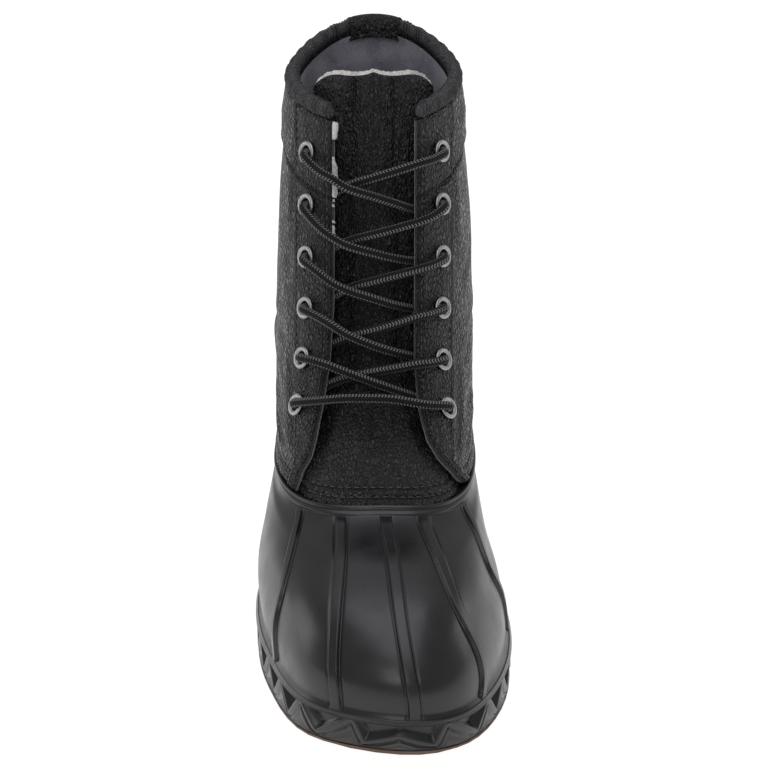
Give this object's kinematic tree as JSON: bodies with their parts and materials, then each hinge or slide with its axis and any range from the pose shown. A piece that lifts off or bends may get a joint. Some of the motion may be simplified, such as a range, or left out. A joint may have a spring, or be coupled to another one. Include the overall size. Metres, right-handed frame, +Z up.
{
  "type": "duck boot",
  "caption": "Ankle-high lace-up duck boot: moulded rubber shell, leather shaft, tongue, padded collar and roped lacing.",
  "frame": {"origin": "on the floor, under the middle of the heel", "axes": "+Z up, -Y towards the toe, +X towards the inner side of the foot"},
  "size_m": [0.1096, 0.2814, 0.2395],
  "materials": {
    "tan_outsole": "matte moulded rubber",
    "black_shell": "semi-gloss moulded rubber",
    "black_leather": "pebbled full-grain leather",
    "grey_lining": "short pile felt",
    "dark_nickel": "dark nickel plate",
    "lace_cord": "braided round cord with grey flecks"
  },
  "bodies": {
    "root": {"outsole": "tan_outsole", "rubber_shell": "black_shell", "insole": "grey_lining", "upper": "black_leather", "tongue": "black_leather", "collar_roll": "black_leather", "heel_stay": "black_leather", "eyelet_lateral_1": "dark_nickel", "eyelet_lateral_2": "dark_nickel", "eyelet_lateral_3": "dark_nickel", "eyelet_lateral_4": "dark_nickel", "eyelet_lateral_5": "dark_nickel", "eyelet_lateral_6": "dark_nickel", "eyelet_medial_1": "dark_nickel", "eyelet_medial_2": "dark_nickel", "eyelet_medial_3": "dark_nickel", "eyelet_medial_4": "dark_nickel", "eyelet_medial_5": "dark_nickel", "eyelet_medial_6": "dark_nickel", "lace_bar": "lace_cord", "lace_crossing_1": "lace_cord", "lace_crossing_2": "lace_cord", "lace_crossing_3": "lace_cord", "lace_crossing_4": "lace_cord", "lace_crossing_5": "lace_cord"}
  },
  "joints": []
}
